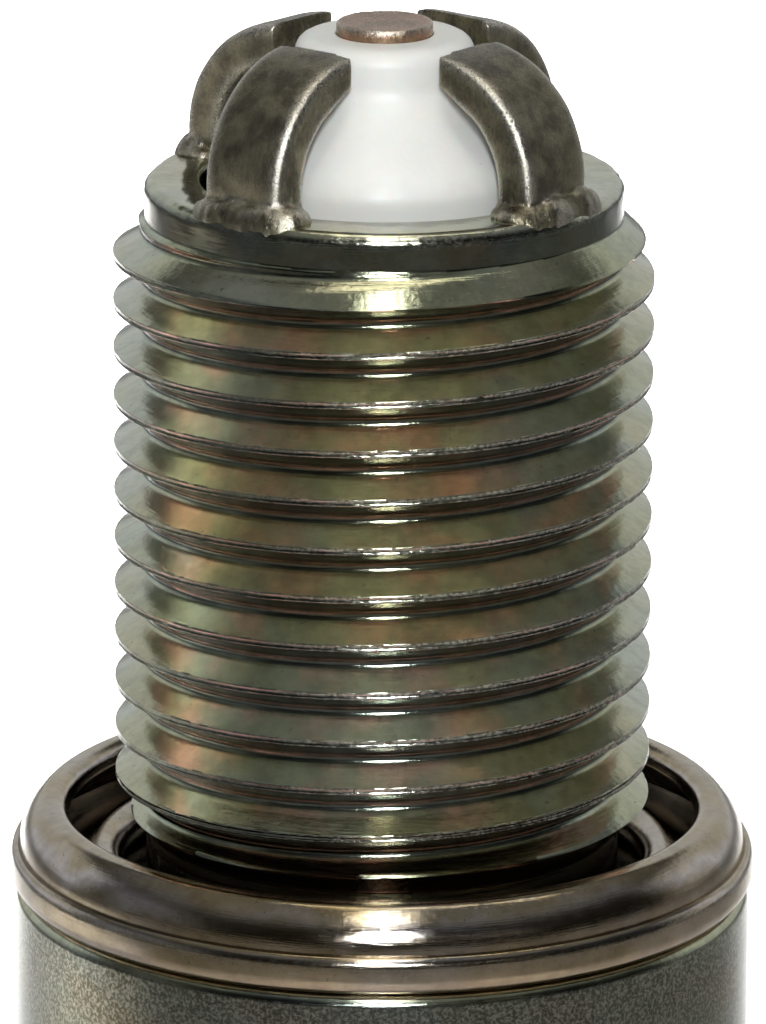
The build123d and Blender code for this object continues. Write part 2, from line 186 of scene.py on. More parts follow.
# ---- Materials ----------------------------------------------------------------------------------------
class Nodes:
    """Short names for building one material's node tree."""

    def __init__(self, name):
        self.material = bpy.data.materials.new(name)
        self.material.use_nodes = True
        self.tree = self.material.node_tree
        self.shader = self.tree.nodes["Principled BSDF"]
        coordinates = self.tree.nodes.new("ShaderNodeTexCoord")
        scale = self.tree.nodes.new("ShaderNodeVectorMath")
        scale.operation = "SCALE"
        scale.inputs["Scale"].default_value = 1 / MM
        self.link(coordinates.outputs["Object"], scale.inputs[0])
        self.place = scale.outputs[0]               # object position in millimetres

    def link(self, output, socket):
        self.tree.links.new(output, socket)

    def feed(self, value, socket):
        """Sets a socket from a number, a colour or another node's output."""
        if isinstance(value, bpy.types.NodeSocket):
            self.link(value, socket)
        else:
            socket.default_value = value

    def noise(self, scale, detail=4, roughness=0.5, stretch=(1, 1, 1), seed=0.0):
        """Noise from 0 to 1 with features about 1/scale millimetres across."""
        mapping = self.tree.nodes.new("ShaderNodeMapping")
        mapping.inputs["Scale"].default_value = stretch
        mapping.inputs["Location"].default_value = (seed, seed * 1.7, seed * 0.6)
        self.link(self.place, mapping.inputs["Vector"])
        node = self.tree.nodes.new("ShaderNodeTexNoise")
        node.inputs["Scale"].default_value = scale
        node.inputs["Detail"].default_value = detail
        node.inputs["Roughness"].default_value = roughness
        self.link(mapping.outputs[0], node.inputs["Vector"])
        return node.outputs["Fac"]

    def math(self, operation, a, b=0.0):
        node = self.tree.nodes.new("ShaderNodeMath")
        node.operation = operation
        self.feed(a, node.inputs[0])
        self.feed(b, node.inputs[1])
        return node.outputs[0]

    def span(self, value, low, high, out_low=0.0, out_high=1.0):
        """Maps low..high onto out_low..out_high, smoothly and clamped."""
        node = self.tree.nodes.new("ShaderNodeMapRange")
        node.interpolation_type = "SMOOTHSTEP"
        self.feed(value, node.inputs["Value"])
        limits = (("From Min", low), ("From Max", high), ("To Min", out_low), ("To Max", out_high))
        for socket, number in limits:
            node.inputs[socket].default_value = number
        return node.outputs["Result"]

    def mix(self, factor, a, b, blend="MIX"):
        """Colour a where factor is 0, b where it is 1."""
        node = self.tree.nodes.new("ShaderNodeMix")
        node.data_type = "RGBA"
        node.blend_type = blend
        self.feed(factor, node.inputs[0])
        self.feed(a, node.inputs[6])
        self.feed(b, node.inputs[7])
        return node.outputs[2]

    def ramp(self, value, stops):
        """Colour ramp from (position, (r, g, b)) stops."""
        node = self.tree.nodes.new("ShaderNodeValToRGB")
        ramp = node.color_ramp
        ramp.elements[0].position, ramp.elements[0].color = stops[0][0], (*stops[0][1], 1)
        ramp.elements[1].position, ramp.elements[1].color = stops[-1][0], (*stops[-1][1], 1)
        for position, colour in stops[1:-1]:
            ramp.elements.new(position).color = (*colour, 1)
        self.link(value, node.inputs[0])
        return node.outputs["Color"]

    def attribute(self, name):
        """A number kept on the mesh's points."""
        node = self.tree.nodes.new("ShaderNodeAttribute")
        node.attribute_name = name
        return node.outputs["Fac"]

    def normal(self):
        """The surface normal's three parts in object space."""
        geometry = self.tree.nodes.new("ShaderNodeNewGeometry")
        parts = self.tree.nodes.new("ShaderNodeSeparateXYZ")
        self.link(geometry.outputs["Normal"], parts.inputs[0])
        return parts.outputs

    def height(self):
        """Height above the seat, in millimetres."""
        parts = self.tree.nodes.new("ShaderNodeSeparateXYZ")
        self.link(self.place, parts.inputs[0])
        return parts.outputs["Z"]

    def bump(self, height, distance, strength=1.0, under=None):
        """Bump from a height of 0 to 1, distance in millimetres."""
        node = self.tree.nodes.new("ShaderNodeBump")
        node.inputs["Strength"].default_value = strength
        node.inputs["Distance"].default_value = distance * MM
        self.link(height, node.inputs["Height"])
        if under is not None:
            self.link(under, node.inputs["Normal"])
        return node.outputs["Normal"]

    def finish(self, colour, metallic, roughness, normal=None, **sockets):
        self.feed(colour, self.shader.inputs["Base Color"])
        self.feed(metallic, self.shader.inputs["Metallic"])
        self.feed(roughness, self.shader.inputs["Roughness"])
        if normal is not None:
            self.link(normal, self.shader.inputs["Normal"])
        for socket, number in sockets.items():
            self.shader.inputs[socket.replace("_", " ")].default_value = number
        return self.material


def grey(value):
    return (value, value, value, 1)


def plated_steel(name, seed, colours, shine=0.0):
    """Zinc plate under a thin chromate film. Its colour runs through colours as the surface tips from
    facing the terminal to facing the firing end: partly the film's tint, partly painted reflection and shade."""
    n = Nodes(name)
    film = n.noise(0.30, detail=4, roughness=0.6, seed=seed, stretch=(1, 1, 1.8))
    # Painted reflection and shade: the colour follows the normal's height part, so faces turned sideways come
    # out dark and faces turned towards either end lighter and tinted.
    tilt = n.math("MULTIPLY", n.normal()[2], 0.5)
    band = n.math("ADD", n.math("ADD", tilt, 0.5), n.span(film, 0.25, 0.75, -0.13, 0.13))
    band = n.math("MAXIMUM", band, n.span(n.height(), -1, 1, 0.42, 0.0))     # no pink behind the seat
    colour = n.ramp(band, colours)
    gold = n.span(n.noise(0.22, detail=3, seed=seed + 12), 0.38, 0.58, 0.2, 0.9)
    colour = n.mix(gold, colour, (1.0, 0.91, 0.70, 1), blend="MULTIPLY")
    grime = n.span(n.noise(1.6, detail=6, roughness=0.7, seed=seed + 3), 0.36, 0.60, 0.82, 1.0)
    colour = n.mix(1.0, colour, n.mix(grime, grey(0.0), grey(1.0)), blend="MULTIPLY")
    spots = n.span(n.noise(7, detail=2, roughness=0.5, seed=seed + 8), 0.69, 0.74, 0.0, 0.5)
    colour = n.mix(spots, colour, (0.10, 0.09, 0.07, 1))
    # Painted shade, nearly black, in the recess round the neck under the gasket and on the inner wall of the
    # gasket's mouth.
    colour = n.mix(n.attribute("recess_shade"), colour, (0.02, 0.02, 0.015, 1))
    # Lighter, rougher colour along edges: partly worn plating, partly painted highlight.
    sparkle = n.span(n.noise(11, detail=4, roughness=0.75, seed=seed + 2), 0.44, 0.60, 0.0, 1.0)
    worn_and_lit = n.math("MULTIPLY", n.attribute("wear_and_highlight"), sparkle)
    colour = n.mix(worn_and_lit, colour, (0.52, 0.50, 0.43, 1))
    streaks = n.noise(9, detail=5, roughness=0.6, stretch=(0.12, 0.12, 3.0), seed=seed)
    roughness = n.span(streaks, 0.3, 0.7, 0.06, 0.15 - shine)
    roughness = n.math("ADD", roughness, n.math("MULTIPLY", worn_and_lit, 0.10))
    fine = n.bump(streaks, 0.005)
    dented = n.noise(4.5, detail=1, roughness=0.5, seed=seed + 6)
    dents = n.bump(dented, 0.008, strength=0.6 - 5 * shine, under=fine)
    pits = n.bump(n.noise(16, detail=4, roughness=0.75, seed=seed + 5), 0.003, strength=0.5, under=dents)
    return n.finish(colour, 1.0, roughness, pits)


def electrode_nickel(name, base, dark, seed):
    """Dull nickel alloy, brown-olive, lighter along its edges and on the weld flash: partly rubbed metal,
    partly painted highlight.
    """
    n = Nodes(name)
    cloud = n.noise(1.4, detail=5, roughness=0.6, seed=seed)
    colour = n.mix(n.span(cloud, 0.35, 0.65), dark, base)
    # Partly wear, partly painted highlight on edges and weld lumps.
    worn_and_lit = n.attribute("wear_and_highlight")
    sparkle = n.span(n.noise(24, detail=3, roughness=0.8, seed=seed + 2), 0.42, 0.62)
    edge = n.math("MULTIPLY", worn_and_lit, n.math("ADD", n.math("MULTIPLY", sparkle, 0.85), 0.3))
    colour = n.mix(edge, colour, (0.86, 0.82, 0.74, 1))
    scratches = n.noise(10, detail=5, roughness=0.65, stretch=(1, 1, 0.35), seed=seed + 1)
    roughness = n.math("ADD", n.span(scratches, 0.3, 0.7, 0.2, 0.34), n.math("MULTIPLY", edge, 0.08))
    fine = n.bump(scratches, 0.012)
    grit = n.bump(n.noise(30, detail=3, roughness=0.8, seed=seed + 4), 0.02, strength=0.5, under=fine)
    return n.finish(colour, 1.0, roughness, grit)


def glazed_ceramic(name):
    """Dense white alumina with faint grey specks and a soft gloss."""
    n = Nodes(name)
    cloud = n.noise(0.8, detail=3, seed=4)
    colour = n.mix(n.span(cloud, 0.3, 0.7), (0.69, 0.68, 0.645, 1), (0.72, 0.71, 0.675, 1))
    speck = n.span(n.noise(5.5, detail=2, roughness=0.4, seed=9), 0.76, 0.80)
    colour = n.mix(n.math("MULTIPLY", speck, 0.4), colour, (0.42, 0.40, 0.37, 1))
    # Painted shade: greyer towards the bottom of the nose, near and below the shell's face, where it goes down
    # into the bore.
    height = n.math("ADD", n.height(), n.span(cloud, 0.3, 0.7, -0.15, 0.15))
    foot = n.span(height, REACH + 0.1, REACH + 0.9, 0.4, 0.0)
    colour = n.mix(foot, colour, (0.50, 0.485, 0.44, 1))
    roughness = n.span(n.noise(6, detail=4, seed=2), 0.3, 0.7, 0.42, 0.55)
    normal = n.bump(n.noise(7, detail=4, roughness=0.6, seed=3), 0.01, strength=0.6)
    return n.finish(
        colour, 0.0, roughness, normal, IOR=1.65, Subsurface_Weight=0.15, Subsurface_Scale=0.4 * MM
    )


def hidden_metal(name, colour, roughness):
    """Plain metal for a piece inside the plug, with a fine grain."""
    n = Nodes(name)
    grain = n.noise(8, detail=5, seed=6)
    shade = n.mix(n.span(grain, 0.3, 0.7), tuple(0.8 * c for c in colour[:3]) + (1,), colour)
    return n.finish(shade, 1.0, roughness, n.bump(grain, 0.01))


def pressed_powder(name, colour, speckle):
    """Fused or pressed powder for a piece inside the insulator."""
    n = Nodes(name)
    grains = n.noise(16, detail=4, roughness=0.7, seed=8)
    shade = n.mix(n.span(grains, 0.4, 0.65), colour, speckle)
    return n.finish(shade, 0.0, 0.8, n.bump(grains, 0.03))


# Film tints with painted reflection and shade: dark from 0.40 to 0.60, where the surface faces sideways,
# lighter and tinted towards either end.
CHROMATE_AND_PAINTED_LIGHT = [
    (0.06, (0.42, 0.44, 0.39)),
    (0.20, (0.68, 0.42, 0.40)),
    (0.28, (0.70, 0.38, 0.37)),
    (0.40, (0.13, 0.12, 0.095)),
    (0.60, (0.13, 0.155, 0.15)),
    (0.84, (0.44, 0.50, 0.42)),
    (1.00, (0.50, 0.53, 0.46)),
]
# Sheet tints with painted reflection and shade in the same way, darkest at 0.60.
SHEET_TINT_AND_PAINTED_LIGHT = [
    (0.10, (0.42, 0.33, 0.30)),
    (0.42, (0.42, 0.36, 0.31)),
    (0.60, (0.26, 0.22, 0.165)),
    (0.75, (0.50, 0.47, 0.48)),
    (0.88, (0.38, 0.33, 0.24)),
    (1.00, (0.44, 0.40, 0.35)),
]
shell_finish = plated_steel("shell_plate", 1.0, CHROMATE_AND_PAINTED_LIGHT)
gasket_finish = plated_steel("gasket_plate", 7.0, SHEET_TINT_AND_PAINTED_LIGHT, shine=0.06)
arm_finish = electrode_nickel("arm_nickel", (0.30, 0.27, 0.185, 1), (0.13, 0.115, 0.08, 1), 2.0)
tip_finish = electrode_nickel("tip_nickel", (0.46, 0.28, 0.18, 1), (0.30, 0.20, 0.13, 1), 5.0)
ceramic_finish = glazed_ceramic("alumina")
terminal_finish = plated_steel("terminal_plate", 11.0, SHEET_TINT_AND_PAINTED_LIGHT)


# ---- Shell --------------------------------------------------------------------------------------------
def thread_rows(pitch, major_r, depth, arc_r):
    """One pitch of thread profile, as (distance below the crest's centre, radius) rows, crest to crest."""
    crest_half = pitch / 16
    slope = math.tan(math.radians(30))
    root_r = major_r - depth
    half = [
        (0.0, major_r - 0.022),
        (crest_half * 0.45, major_r - 0.012),
        (crest_half * 0.8, major_r),
        (crest_half * 1.1, major_r - 0.006),
        (crest_half * 1.35, major_r - (crest_half * 0.35) / slope),
    ]
    arc_start = pitch / 2 - arc_r * math.sin(math.radians(60))
    flank_start = half[-1][0]
    for step in range(1, 7):
        x = flank_start + (arc_start - flank_start) * step / 7
        half.append((x, major_r - (x - crest_half) / slope))
    for degrees in (60, 45, 30, 15, 0):
        turn = math.radians(degrees)
        half.append((pitch / 2 - arc_r * math.sin(turn), root_r + arc_r * (1 - math.cos(turn))))
    other = [(pitch - x, r) for x, r in reversed(half[1:-1])]
    return np.array(half + other)


def threaded_grid(rows, pitch, z_high, z_low, first_z, around, envelope, wobble):
    """Points and faces of a helical thread between two plain circles, on rows that follow the helix.

    first_z is the height of the first row at angle 0, and each column lies higher by its share of a pitch.
    """
    per_turn = len(rows)
    turns = math.ceil((first_z - z_low) / pitch) + 1
    angle = np.arange(around) * 2 * math.pi / around
    heights, radii = [], []
    for turn in range(turns + 1):
        for drop, r in rows:
            z = first_z - turn * pitch - drop + pitch * angle / (2 * math.pi)
            z = np.clip(z, z_low, z_high)
            r_here = soft_min(r + wobble(drop, turn, angle), envelope(z), 0.05)
            r_here = np.where((z >= z_high) | (z <= z_low), envelope(z), r_here)
            heights.append(z)
            radii.append(r_here)
    heights = np.array(heights)
    radii = np.array(radii)
    row_count = len(heights)
    x = radii * np.cos(angle)
    y = radii * np.sin(angle)
    points = np.stack((x, y, heights), axis=2).reshape(-1, 3)
    faces = []
    for row in range(row_count - 1):
        for k in range(around):
            if k < around - 1:
                a, b = row * around + k, row * around + k + 1
                c, d = b + around, a + around
            else:
                low = max(row - per_turn, 0)
                a, b = row * around + k, low * around
                c, d = max(row + 1 - per_turn, 0) * around, a + around
            faces.append((a, b, c, d))
    return points, faces


def hexagon_radius(angle):
    """Radius of the hexagon, flats across Y, with slightly rounded corners."""
    sharpness = 90
    total = np.zeros_like(angle)
    for flat in range(6):
        facing = np.cos(angle - math.radians(30 + 60 * flat))
        total += np.maximum(facing / HEX_FLAT_R, 0) ** sharpness
    return total ** (-1 / sharpness)


def lead_in(z):
    """Plain outline that the thread runs out into: pilot, 45 degree cones and neck."""
    top = PILOT_R + np.maximum(PILOT_Z - z, 0)
    bottom = NECK_R + np.maximum(z - NECK_Z, 0)
    return np.minimum(top, bottom)


def build_shell():
    rows = thread_rows(PITCH, MAJOR_R, THREAD_DEPTH, ROOT_ARC_R)
    front = 0.75 * PITCH                            # rise from angle 0 to the -Y side
    first_z = FRONT_ROOT_Z + PITCH / 2 - front
    while first_z < PILOT_Z:
        first_z += PITCH

    def nicks(drop, turn, angle):
        """Small dents along both lips of the crest."""
        from_crest = min(drop, PITCH - drop)
        share = max(0.0, 1 - from_crest / 0.16)
        if share == 0:
            return 0.0
        local = np.random.default_rng(1000 + turn * 40 + int(drop * 160))
        fine = wave_noise(angle, 0.03, 3, local)
        dents = np.minimum(wave_noise(angle, 0.08, 2, local) + 0.45, 0)
        return share * (fine * 0.010 + dents * 0.09)

    thread_points, thread_faces = threaded_grid(
        rows, PITCH, PILOT_Z, NECK_Z - 0.4, first_z, AROUND, lead_in, nicks
    )

    angle = np.arange(AROUND) * 2 * math.pi / AROUND
    hex_r = hexagon_radius(angle)
    hex_drop = (hex_r - (HEX_FLAT_R - 0.2)) * math.tan(math.radians(30))
    rim = 0.03 * wave_noise(angle, 0.10, 3, rng)
    rim_bend = [
        (
            PILOT_R - FACE_CHAMFER + (FACE_CHAMFER + rim) * math.sin(tip),
            REACH - FACE_CHAMFER + (FACE_CHAMFER + 0.6 * rim) * math.cos(tip),
        )
        for tip in np.radians((10, 25, 40, 55, 70, 85))
    ]
    front_rings = [
        (BORE_R, PILOT_Z - 4.0),
        (BORE_R, REACH - 0.10),
        (BORE_R + 0.03, REACH - 0.03),
        (BORE_R + 0.10, REACH),
        (PILOT_R - FACE_CHAMFER, REACH),
        *rim_bend,
        (PILOT_R, REACH - 0.4),
        (PILOT_R, PILOT_Z + 0.05),
        (PILOT_R, PILOT_Z),
    ]
    barrel = rounded(
        [
            (NECK_R, NECK_Z - 0.4, 0),
            (NECK_R, 0, 0.15),
            (BARREL_R, 0, 0.3),
            (BARREL_R, WAIST_Z, 0.25),
            (WAIST_R, WAIST_Z, 0.3),
            (WAIST_R, HEX_Z, 0),
        ],
        closed=False,
    )
    back = rounded(
        [
            (HEX_FLAT_R - 0.2, HEX_END_Z, 0),
            (CRIMP_R, HEX_END_Z, 0.15),
            (CRIMP_R, CRIMP_END_Z, 1.55),
            (CRIMP_R - 1.6, CRIMP_END_Z, 0),
            (CRIMP_R - 1.6, CRIMP_END_Z + CRIMP_WALL, 0),
            (CRIMP_R - CRIMP_WALL, CRIMP_END_Z + CRIMP_WALL, 0.75),
            (CRIMP_R - CRIMP_WALL, -3.75, 0),
            (4.85, -2.2, 0),
            (4.85, 5.225, 0),
            (4.2, 5.6, 0),
            (4.2, 6.55, 0),
            (BORE_R, 7.0, 0),
            (BORE_R, PILOT_Z - 4.0, 0),
        ],
        closed=False,
    )
    hexagon = [
        (HEX_FLAT_R - 0.2, HEX_Z),
        (hex_r, HEX_Z - hex_drop),
        (hex_r, HEX_END_Z + hex_drop),
    ]
    back_rings = [tuple(p) for p in barrel] + hexagon + [tuple(p) for p in back]

    front_points = ring_points(front_rings, AROUND)
    back_points = ring_points(back_rings, AROUND)
    faces = ring_faces(len(front_rings), AROUND, closed=False)
    offset = len(front_points)
    faces += [tuple(i + offset for i in face) for face in thread_faces]
    offset += len(thread_points)
    faces += [tuple(i + offset for i in face) for face in ring_faces(len(back_rings), AROUND, closed=False)]
    points = np.concatenate((front_points, thread_points, back_points))
    shell = add_piece("shell_body", points, faces, "plug", ["shell"], shell_finish)
    return shell


def keep(piece, name, values):
    """Keeps a number from 0 to 1 on each point, for the material to read."""
    layer = piece.data.attributes.new(name, "FLOAT", "POINT")
    layer.data.foreach_set("value", np.clip(values, 0, 1).astype(np.float32))


def coordinates(piece):
    """A piece's points in millimetres."""
    flat = np.empty(len(piece.data.vertices) * 3)
    piece.data.vertices.foreach_get("co", flat)
    return flat.reshape(-1, 3) / MM


shell = build_shell()
place = coordinates(shell)
radius = np.hypot(place[:, 0], place[:, 1])
# Lighter crest and face-rim colour: partly worn plating, partly painted highlight, cut to a quarter towards
# -X.
highlight_side = 0.25 + 0.75 * smoothstep(place[:, 0], -3.2, -0.6)
crest_wear_and_highlight = smoothstep(radius, MAJOR_R - 0.05, MAJOR_R - 0.01) * (np.abs(radius - MAJOR_R) < 0.2)
crest_wear_and_highlight = crest_wear_and_highlight * highlight_side
face_rim_wear_and_highlight = smoothstep(place[:, 2], REACH - 0.34, REACH - 0.2) * (radius > PILOT_R - 0.24) * highlight_side
# Lighter line round the barrel's top rim: partly wear, partly painted highlight.
barrel_rim_wear_and_highlight = np.exp(-(((place[:, 2] + 0.27) / 0.05) ** 2)) * (radius > BARREL_R - 0.1) * 0.9
keep(shell, "wear_and_highlight", (crest_wear_and_highlight + face_rim_wear_and_highlight) * (place[:, 2] > NECK_Z) + barrel_rim_wear_and_highlight)
# Painted shade in the recess round the neck, under the gasket.
keep(shell, "recess_shade", (1 - smoothstep(place[:, 2], 0.4, 2.2)) * (radius < 6.9) * (place[:, 2] > -0.1) * 0.9)


# ---- Gasket -------------------------------------------------------------------------------------------
GASKET_SHEET = 0.25
WRAP_TOP = [(9.44, 0.92), (9.485, 0.84)]        # the wrapped edge leans in a little at its top
WRAP_R = 9.495                  # middle of the sheet in the wrapped edge
WRAP_TOP_Z = 0.76
WRAP_BEND_R = 0.325
SEAT_Z = 0.125                  # middle of the sheet where it lies on the seat
FOLD_R = 7.245                  # where the inner fold starts
FOLD_BEND_R = 0.42
FOOT_R = 9.095                  # middle of the crown foot's bend
FOOT_BEND_R = 0.14
SIDE_TURN = 95                  # 5 degrees past upright, less what arc_from trails by
SIDE_LENGTH = 0.4
SHOULDER_R = 1.175
SHOULDER_TURN = 50
CROWN_BEND_R = 0.275
CROWN_TURN = 35
CURL_R = 0.2
CROWN_FLAT = 0.15               # straight stretch on the crown, and again at the end of the curl
TINY = 0.001                    # a short first step that gives a bend its direction


def arc_from(path, radius, turn, steps):
    """Adds an arc that starts where the path ends, turning left by turn degrees (right if negative).

    It sets off along the path's last chord. After another arc that trails the true tangent by half a step,
    up to 7 degrees here, which is why this gasket stands 0.2 mm taller than the one in the CAD.
    """
    here = np.array(path[-1])
    ahead = here - np.array(path[-2])
    heading = math.atan2(ahead[1], ahead[0])
    side = math.copysign(1, turn)
    centre = here + radius * side * np.array((-math.sin(heading), math.cos(heading)))
    for step in range(1, steps + 1):
        now = heading + math.radians(turn) * step / steps
        path.append(tuple(centre - radius * side * np.array((-math.sin(now), math.cos(now)))))


def line_from(path, length, steps=1):
    """Adds a straight stretch that carries the path's last direction on."""
    here = np.array(path[-1])
    ahead = here - np.array(path[-2])
    ahead /= np.linalg.norm(ahead)
    for step in range(1, steps + 1):
        path.append(tuple(here + ahead * length * step / steps))


def fold_path():
    """Middle of the gasket's sheet: down the wrapped edge, in along the seat, round the inner fold, out to
    the crown's foot, up its side, over the crown and down into the mouth."""
    both_bends = FOLD_BEND_R + FOOT_BEND_R
    across = FOOT_R - FOLD_R
    floor_slope = math.degrees(math.asin(both_bends / across))
    wrap_z = SEAT_Z + WRAP_BEND_R
    path = WRAP_TOP + [(WRAP_R, WRAP_TOP_Z), (WRAP_R, wrap_z + TINY), (WRAP_R, wrap_z)]
    arc_from(path, WRAP_BEND_R, -90, 8)
    path += [(r, SEAT_Z) for r in (8.6, 7.9, FOLD_R + TINY, FOLD_R)]
    arc_from(path, FOLD_BEND_R, -(180 + floor_slope), 20)
    line_from(path, math.sqrt(across**2 - both_bends**2), 4)
    arc_from(path, FOOT_BEND_R, floor_slope + SIDE_TURN, 8)
    line_from(path, SIDE_LENGTH, 2)
    arc_from(path, SHOULDER_R, SHOULDER_TURN, 12)
    arc_from(path, CROWN_BEND_R, CROWN_TURN, 6)
    line_from(path, CROWN_FLAT)
    arc_from(path, CURL_R, 90, 8)
    line_from(path, CROWN_FLAT)
    return np.array(path)


def sheet_outline(path, thickness):
    """Closed outline of a bent sheet, with rounded ends."""
    step = np.gradient(path, axis=0)
    step /= np.linalg.norm(step, axis=1)[:, None]
    side = np.stack((-step[:, 1], step[:, 0]), axis=1) * thickness / 2
    ends = []
    for point, direction in ((path[-1], step[-1]), (path[0], -step[0])):
        across = np.array((-direction[1], direction[0])) * thickness / 2
        for degrees in (30, 60, 90, 120, 150):
            turn = math.radians(degrees)
            ends.append(point + across * math.cos(turn) + direction * math.sin(turn) * thickness / 2)
    return np.concatenate((path + side, ends[:5], (path - side)[::-1], ends[5:]))


def build_gasket():
    outline = sheet_outline(fold_path(), GASKET_SHEET)
    angle = np.arange(AROUND) * 2 * math.pi / AROUND
    rings = []
    sway = 0.025 * wave_noise(angle, 0.9, 2, rng)
    for r, z in outline:
        height_share = np.clip(z / 1.2, 0, 1)
        rings.append((r + sway * height_share, z + 0.4 * sway * height_share))
    points = ring_points(rings, AROUND)
    faces = ring_faces(len(rings), AROUND, closed=True)
    gasket = add_piece("gasket_ring", points, faces, "gasket", ["gasket"], gasket_finish, 80)
    place = coordinates(gasket)
    radius = np.hypot(place[:, 0], place[:, 1])
    # Lighter line round the top of the wrapped edge: partly wear, partly painted highlight.
    edge = np.exp(-(((place[:, 2] - 0.86) / 0.08) ** 2)) * (radius > 9.4)
    keep(gasket, "wear_and_highlight", edge * 0.8)
    # Painted shade on the inner wall of the gasket's mouth.
    mouth = smoothstep(-place[:, 2], -1.72, -1.50) * smoothstep(radius, 7.75, 8.0) * (radius < 8.95)
    keep(gasket, "recess_shade", mouth * 0.95)
    return gasket


build_gasket()

# ---- Insulator ----------------------------------------------------------------------------------------
TIP_Z = REACH + 3.73
RIB_PITCH = 2.2
FIRST_RIB_Z = -23.5
RIB_COUNT = 5
BOOT_R = 5.25
RIB_VALLEY_SHARE = 0.7          # of the pitch
RIB_DEPTH = 0.5
NOSE_R = 2.27
NOSE_END_Z = TIP_Z - 0.9
TIP_BORE_R = 1.25
SEAL_BORE_R = 2.05
SEAL_BORE_Z = 6.4
INSULATOR_R = 3.95              # inside the thread
SEAT_R = 4.70
BODY_R = 6.25                   # inside the barrel
END_R = 4.3
INSULATOR_END_Z = -41.0


def insulator_outline():
    """From the axis side of the firing tip, down the outside, and back up the bore."""
    nose = rounded([(TIP_BORE_R, TIP_Z, 0), (NOSE_R, TIP_Z, 0.45), (NOSE_R, NOSE_END_Z, 0)], closed=False)
    nose[0] = (TIP_BORE_R, TIP_Z)
    flare_top = np.array((NOSE_R, NOSE_END_Z))
    flare_end = np.array((INSULATOR_R, REACH + 0.2))
    drop = flare_top[1] - flare_end[1]
    flare = []
    for t in np.linspace(0, 1, 25)[1:]:             # cubic that leaves and arrives along the axis
        h00 = 2 * t**3 - 3 * t**2 + 1
        h10 = t**3 - 2 * t**2 + t
        h01 = -2 * t**3 + 3 * t**2
        h11 = t**3 - t**2
        down = np.array((0, -drop))
        flare.append(h00 * flare_top + h10 * down + h01 * flare_end + h11 * down)
    middle = rounded(
        [
            (INSULATOR_R, REACH, 0),
            (INSULATOR_R, 5.36, 0.2),
            (SEAT_R, 4.92, 0.2),
            (SEAT_R, -2.5, 0.3),
            (BODY_R, -4.05, 0.4),
            (BODY_R, -13.2, 0.4),
            (BOOT_R, -13.78, 0.2),
            (BOOT_R, FIRST_RIB_Z + 0.5, 0),
        ],
        closed=False,
    )
    ribs = []
    valley = RIB_PITCH * RIB_VALLEY_SHARE
    for rib in range(RIB_COUNT):
        top = FIRST_RIB_Z - rib * RIB_PITCH
        for t in np.linspace(0, 1, 13):
            depth = RIB_DEPTH * math.sin(math.pi * t) ** 1.3
            ribs.append((BOOT_R - depth, top - valley * t))
    last = FIRST_RIB_Z - RIB_COUNT * RIB_PITCH
    tail = rounded(
        [
            (BOOT_R, last, 0),
            (BOOT_R, last - 1.5, 0.8),
            (END_R, last - 3.5, 0.8),
            (END_R, INSULATOR_END_Z, 0.5),
            (SEAL_BORE_R, INSULATOR_END_Z, 0.1),
            (SEAL_BORE_R, SEAL_BORE_Z, 0),
            (TIP_BORE_R, SEAL_BORE_Z, 0),
            (TIP_BORE_R, TIP_Z - 0.4, 0),
        ],
        closed=False,
    )
    return np.concatenate((nose[:-1], [flare_top], flare, middle, ribs, tail))


turned(
    "insulator_body", insulator_outline(), "plug", ["insulator"], ceramic_finish, around=288
)

# ---- Centre electrode ---------------------------------------------------------------------------------
ELECTRODE_R = 1.22
ELECTRODE_TIP_Z = TIP_Z + 0.32


def build_centre_electrode():
    around = 192
    angle = np.arange(around) * 2 * math.pi / around
    rings = []
    for r in np.linspace(0, ELECTRODE_R - 0.09, 14):
        ripple = 0.006 * wave_noise(angle, 0.6, 2, rng) * min(r, 1)
        rings.append((r, ELECTRODE_TIP_Z - 0.02 + 0.02 * (r / ELECTRODE_R) ** 2 + ripple))
    burr = 0.02 * wave_noise(angle, 0.25, 3, rng)
    rings += [
        (ELECTRODE_R - 0.05 + 0.3 * burr, ELECTRODE_TIP_Z - 0.005 + burr * 0.5),
        (ELECTRODE_R - 0.015 + 0.5 * burr, ELECTRODE_TIP_Z - 0.03 + burr * 0.3),
        (ELECTRODE_R + 0.3 * burr, ELECTRODE_TIP_Z - 0.08),
        (ELECTRODE_R, ELECTRODE_TIP_Z - 0.2),
        (ELECTRODE_R, 6.38),
        (1.9, 6.38),
        (1.9, 5.4),
        (0.72, 5.4),
        (0.72, ELECTRODE_TIP_Z - 2.18),
        (0, ELECTRODE_TIP_Z - 2.18),
    ]
    points = ring_points(rings, around)
    faces = ring_faces(len(rings), around, closed=False)
    piece = add_piece(
        "centre_electrode_tip",
        points,
        faces,
        "plug",
        ["centre_electrode"],
        tip_finish,
    )
    place = coordinates(piece)
    # Lighter rim round the tip's edge: partly wear, partly painted highlight.
    rim = np.exp(-(((np.hypot(place[:, 0], place[:, 1]) - ELECTRODE_R + 0.03) / 0.05) ** 2))
    keep(piece, "wear_and_highlight", rim * (place[:, 2] > ELECTRODE_TIP_Z - 0.1) * 0.8)


build_centre_electrode()

# ---- Ground electrodes --------------------------------------------------------------------------------
ARM_WIDTH = 2.4
ARM_THICKNESS = 1.12
ARM_BEND_R = 3.18
ARM_FOOT_R = 5.65
ARM_TIP_R = 2.7
ARM_BEND_Z = REACH + 0.58
ARM_UNDERCUT = math.radians(33)
BEND_CENTRE_R = ARM_FOOT_R - ARM_BEND_R


